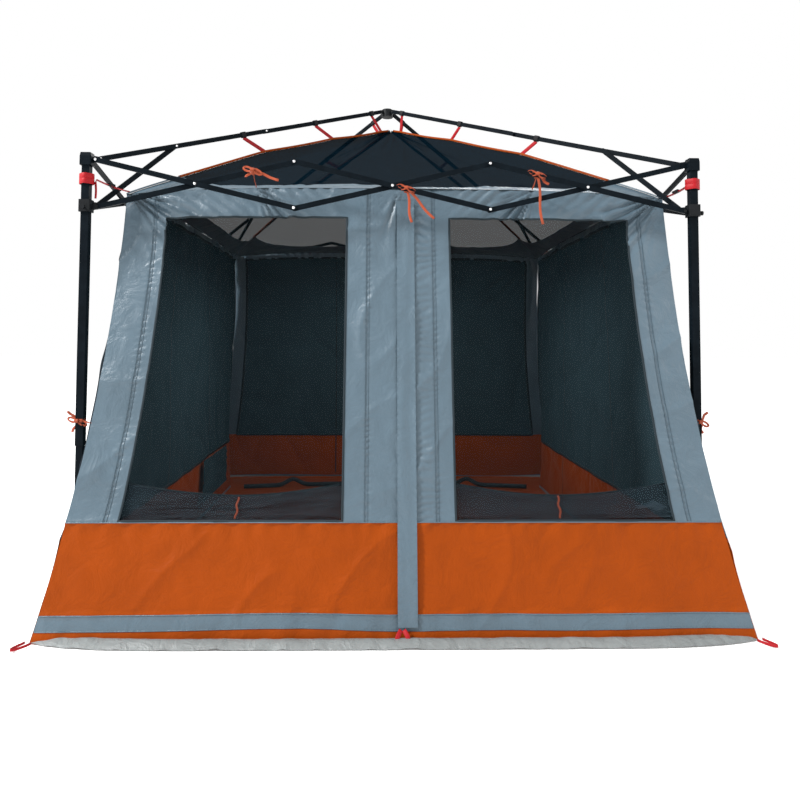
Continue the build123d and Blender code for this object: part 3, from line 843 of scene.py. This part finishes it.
def curved_strap(start, end, bow, face, name, material, width=0.025):
    """Webbing from start to end, bowed by the given vector."""
    path = [start.lerp(end, k) + bow * math.sin(math.pi * k) for k in evenly(0, 1, 14)]
    return sweep(name, path, [face.normalized()] * len(path), flat_section(width, thick=0.002),
                 material)


def make_straps():
    """Red webbing from the arms and posts to the tent, with black loops on the arms."""
    parts = []
    layer_gap = 0.0085
    for number, (sign_x, sign_y) in enumerate(CORNER_SIGNS):
        inward, side = corner_ways(number)
        slope = (arm_point(number, 1) - arm_point(number, 0)).normalized()
        for arm_share, hip_share in zip(ARM_HOOKS, HOOKS):
            layer = side * (layer_gap if arm_share < KNEE_SHARE else -layer_gap)
            arm = arm_point(number, arm_share) + layer
            hip = hip_point(number, hip_share) + UP * 0.004
            parts.append(ring_round(arm, slope, UP, "arm_loop", BLACK_WEB, width=0.0095,
                                    height=0.0165, band=0.03))
            parts.append(curved_strap(arm - UP * 0.017, hip, Vector(), side, "arm_strap", WEBBING,
                                      width=0.024))
        post = Vector((sign_x * POST_AT, sign_y * POST_AT, 0))
        for height in WRAP_HEIGHTS:
            parts.append(ring_round(post + UP * height, UP, inward, "post_wrap", WEBBING,
                                    width=0.030, height=0.030, band=0.026))
        eave = hip_point(number, 0) + side * 0.024 + UP * 0.012
        start = post + inward * 0.036 + side * 0.024 + UP * STRAP_HEIGHT
        parts.append(curved_strap(start, eave, UP * -0.006, UP, "corner_strap", WEBBING))
        middle = start.lerp(eave, 0.45)
        parts.append(ring_round(middle, (eave - start).normalized(), UP, "strap_buckle",
                                BLACK_WEB, width=0.016, height=0.006, band=0.03))
        tail = start - UP * 0.01 - inward * 0.004
        parts.append(curved_strap(tail, tail - UP * 0.085 + side * 0.006, side * 0.006, inward,
                                  "strap_tail", WEBBING, width=0.022))
    straps = on_tent(joined("tent_straps", parts))
    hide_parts("hanging_straps")


def make_stake_loops():
    """Red webbing loops at the ground corners and at the door sill."""
    parts = []
    loop_length, half_width, lean = 0.090, 0.016, 0.38
    for sign_x, sign_y in CORNER_SIGNS:
        corner = Vector((TENT_SHIFT + sign_x * GROUND_X, sign_y * GROUND_Y, 0.004))
        out = Vector((sign_x * lean, sign_y, 0)).normalized()
        side = out.cross(UP)
        path, normals = [], []
        for angle in evenly(0, math.pi, 26):
            reach = loop_length * math.sin(angle) ** 0.7
            path.append(corner + out * (0.008 + reach) + side * half_width * math.cos(angle)
                        + UP * (0.004 + 0.006 * math.sin(angle)))
            normals.append((out * math.sin(angle) + side * math.cos(angle)).normalized())
        parts.append(sweep("corner_loop", path, normals, flat_section(width=0.012, thick=0.002),
                           WEBBING))
    sill = Vector((0.045, -GROUND_Y - 0.004, 0.02))
    for way in (-1, 1):
        parts.append(curved_strap(sill + Vector((way * 0.006, 0, 0.035)),
                                  sill + Vector((way * 0.020, -0.02, -0.017)),
                                  Vector((way * 0.010, -0.012, 0)), Vector((0, -1, 0.2)),
                                  "sill_loop", WEBBING, width=0.02))
    loops = on_tent(joined("ground_loops", parts))
    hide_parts("stake_loops")


def bow_knot(centre, across, down, tails, name):
    """A ribbon knot: a small wrapped lump, two loops and hanging tails."""
    out = across.cross(down).normalized()
    knot_width, loop_reach = 0.018, 0.040
    knot = [centre + across * x for x in evenly(-knot_width / 2, knot_width / 2, 8)]
    parts = [sweep(name + "_knot", knot, [out] * len(knot), round_section(radius=0.0095), RIBBON)]
    for way in (-1, 1):
        loop, normals = [], []
        for i in range(18):
            angle = 2 * math.pi * i / 17
            reach = loop_reach * (1 - math.cos(angle)) / 2
            droop = 0.010 * math.sin(angle) + 0.35 * reach * (way + 0.4)
            loop.append(centre + across * way * (0.004 + reach) + down * droop
                        + out * (0.004 + 0.006 * math.sin(angle / 2)))
            normals.append(down if i % 17 == 0 else (down * math.cos(angle) + out).normalized())
        parts.append(sweep(name + "_loop", loop, normals,
                           flat_section(width=0.011, thick=0.0016), RIBBON))
    for lean, length in tails:
        path = [centre + down * length * k + across * (lean * k + 0.006 * math.sin(6 * k))
                + out * (0.010 + 0.008 * math.sin(3 * k)) for k in evenly(0, 1, 14)]
        parts.append(sweep(name + "_tail", path, [out] * len(path),
                           flat_section(width=0.013, thick=0.0016), RIBBON))
    return parts


def bar_line(side, index, layer):
    """A scissor bar's pivot line, from the side's first post to its second, with its ways."""
    low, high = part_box(f"{SIDES[side]}_{layer}_bar_{index}")
    outward, along = SIDE_OUT[side], SIDE_ALONG[side]
    spots = sorted((low.dot(along), high.dot(along)))
    middle = (low + high).dot(outward) / 2
    falls = layer == "outer"
    z = (high.z, low.z) if falls else (low.z, high.z)
    lift = -HALF_BAR if falls else HALF_BAR
    start = along * (spots[0] + HALF_BAR) + outward * middle + UP * (z[0] + lift)
    end = along * (spots[1] - HALF_BAR) + outward * middle + UP * (z[1] - lift)
    return start, end, along, outward


def make_bar_ties():
    """Ribbon ties that hang each eave from its scissor bars, left, middle and right."""
    knot_out, eave_in = 0.0225, 0.10
    # each tie: bar, layer, share of the bar's length, and its tails' lean and length
    ties = [
        (1, "inner", 0.79, [(-0.03, 0.035), (0.13, 0.05)]),
        (2, "outer", 0.57, [(0.03, 0.17), (0.14, 0.15)]),
        (3, "outer", 0.24, [(0.06, 0.05), (0.03, 0.25)]),
    ]
    for side in range(4):
        for index, layer, share, tails in ties:
            start, end, along, outward = bar_line(side, index, layer)
            centre = start.lerp(end, share)
            slope = (end - start).normalized()
            parts = [ring_round(centre, slope, UP, "tie_wrap", RIBBON, width=0.0105,
                                height=0.0155, band=0.016)]
            reach = POST_AT + knot_out - centre.dot(outward)
            parts += bow_knot(centre + outward * reach + UP * 0.004, along, -UP, tails, "tie")
            eave = centre - outward * eave_in
            eave.z = EAVE_Z + EAVE_LIFT
            parts.append(curved_strap(centre - outward * 0.012 - UP * 0.012, eave, UP * -0.006,
                                      along, "tie_run", RIBBON, width=0.010))
            bar = f"{SIDES[side]}_{layer}_bar_{index}"
            on_frame(joined(bar + "_tie", parts), bar)


def make_leg_ties():
    """Ribbon ties from the wall's edge seams to the front posts."""
    parts = []
    for sign in (-1, 1):
        post = Vector((sign * POST_AT, -POST_AT, LEG_TIE_HEIGHT))
        parts.append(ring_round(post, UP, Vector((0, 1, 0)), "leg_wrap", RIBBON, width=0.0205,
                                height=0.0205, band=0.016))
        parts += bow_knot(post + Vector((sign * 0.010, -0.026, 0)), Vector((1, 0, 0)), -UP,
                          [(sign * 0.045, -0.045), (sign * 0.02, 0.055)], "leg_tie")
        wall = end_point(-1)(sign * 0.995, LEG_TIE_HEIGHT / EAVE_Z)
        parts.append(curved_strap(post + Vector((-sign * 0.021, -0.012, 0)), wall, UP * -0.004,
                                  UP, "leg_tie_run", RIBBON, width=0.014))
    on_tent(joined("post_ties", parts))


# ---------------- the frame

def dress_frame():
    """Better materials on the CAD nodes, which keep their shapes."""
    for name, node in nodes.items():
        plastic = name.endswith("_slider") or name == "roof_hub"
        material = PLASTIC if plastic else STEEL
        for row in node.material_slots:
            row.material = material


def rivet_cap(centre, axis):
    """A low domed rivet head."""
    side = axis.orthogonal().normalized()
    other = axis.cross(side)
    rings, sides = 5, 16
    points = []
    for r in range(rings):
        tilt = r / (rings - 1) * math.pi / 2
        reach = RIVET_RADIUS * math.cos(tilt) + 1e-4
        for i in range(sides):
            angle = 2 * math.pi * i / sides
            points.append(centre + (side * math.cos(angle) + other * math.sin(angle)) * reach
                          + axis * RIVET_HEIGHT * math.sin(tilt))
    return make_piece("rivet", points, ring_faces(rings, sides), [ZINC])


def make_rivets():
    """Bright rivet heads on the outer bars, the brackets and the arms."""
    for side in range(4):
        for index in (1, 2, 3):
            high, low, _, outward = bar_line(side, index, "outer")
            lift = outward * (POST_AT + BAR_FACE - high.dot(outward))
            high, low = high + lift, low + lift
            caps = [rivet_cap(high.lerp(low, 0.5), outward)]
            if index > 1:
                caps.append(rivet_cap(high, outward))
            if index < 3:
                caps.append(rivet_cap(low, outward))
            bar = f"{SIDES[side]}_outer_bar_{index}"
            on_frame(joined(bar + "_rivets", caps), bar)
    pivot_face, bracket_reach, bracket_drop = 0.0175, 0.045, 0.015
    for number, name in enumerate(CORNERS):
        pivot = Vector(joints[f"{name}_outer_arm_pivot"]["pos_m"])
        sign_x, sign_y = CORNER_SIGNS[number]
        _, side = corner_ways(number)
        outward, along = SIDE_OUT[number], SIDE_ALONG[number]
        corner = Vector((sign_x * POST_AT, sign_y * POST_AT, pivot.z - bracket_drop))
        caps = [rivet_cap(pivot + side * pivot_face, side),
                rivet_cap(corner + along * bracket_reach + outward * pivot_face, outward)]
        on_frame(joined(name + "_bracket_rivets", caps), f"{name}_post")
        caps = [rivet_cap(arm_point(number, share) + side * BAR_FACE, side)
                for share in (KNEE_SHARE, STRUT_SHARE)]
        on_frame(joined(name + "_arm_rivets", caps), f"{name}_outer_arm")


# ---------------- stage

def make_floor():
    """A plain pale floor in a white studio."""
    half, z = 40, -0.001
    floor = make_piece("floor", [(-half, -half, z), (half, -half, z), (half, half, z),
                                 (-half, half, z)], [(0, 1, 2, 3)], [])
    material, _, shader = new_material("floor_pale")
    shader.inputs["Base Color"].default_value = (0.93, 0.93, 0.93, 1)
    shader.inputs["Roughness"].default_value = 0.95
    shader.inputs["Specular IOR Level"].default_value = 0.0
    shader.inputs["Emission Color"].default_value = (1, 1, 1, 1)
    shader.inputs["Emission Strength"].default_value = 0.10
    floor.data.materials.append(material)
    world = bpy.data.worlds.new("studio")
    world.use_nodes = True
    world.node_tree.nodes["Background"].inputs["Color"].default_value = (1, 1, 1, 1)
    world.node_tree.nodes["Background"].inputs["Strength"].default_value = 1.0
    bpy.context.scene.world = world
    bpy.context.scene.view_settings.view_transform = "Standard"


def make_lights():
    """Soft area lights, all aimed at the middle of the tent."""
    aim_at = Vector((0, 0, 0.9))
    for name, place, size, power in (
        ("key", (-10.5, -5.6, 10.5), 1.9, 3400.0),
        ("fill", (7.0, -6.0, 5.0), 4.0, 200.0),
        ("back", (3.0, 8.0, 7.0), 3.0, 420.0),
        ("inside", (0.0, 0.0, 1.85), 1.2, 34.0),
    ):
        data = bpy.data.lights.new(name, "AREA")
        data.size = size
        data.energy = power
        light = bpy.data.objects.new(name, data)
        light.location = place
        light.rotation_euler = (aim_at - Vector(place)).to_track_quat("-Z", "Y").to_euler()
        bpy.context.scene.collection.objects.link(light)


def make_camera():
    """The camera at the photograph's viewing angle, fitted to the frame's posts and bars."""
    place = (-0.088, -4.945, 1.339)
    yaw, pitch, roll = 0.0217, 0.0467, 0.0045
    data = bpy.data.cameras.new("camera")
    data.sensor_width = 36.0
    data.lens = 31.6
    data.shift_x = 0.0135
    data.shift_y = -0.12
    camera = bpy.data.objects.new("camera", data)
    ahead = Vector((math.sin(yaw) * math.cos(pitch), math.cos(yaw) * math.cos(pitch),
                    math.sin(pitch)))
    level = Vector((math.cos(yaw), -math.sin(yaw), 0))
    above = level.cross(ahead)
    right = level * math.cos(roll) + above * math.sin(roll)
    upward = above * math.cos(roll) - level * math.sin(roll)
    turned = Matrix((right, upward, -ahead)).transposed().to_4x4()
    camera.matrix_world = Matrix.Translation(place) @ turned
    bpy.context.scene.collection.objects.link(camera)
    bpy.context.scene.camera = camera


make_floor()
make_lights()
make_camera()
dress_frame()
make_front()
make_wall("back", end_point(1), "back_wall", 31.0, 0.92)
make_wall("left", side_point(-1), "left_wall", 41.0, 0.955)
make_wall("right", side_point(1), "right_wall", 51.0, 0.955)
make_inside()
make_roof()
make_groundsheet()
make_storm_flap()
make_zip()
make_straps()
make_stake_loops()
make_bar_ties()
make_leg_ties()
make_rivets()
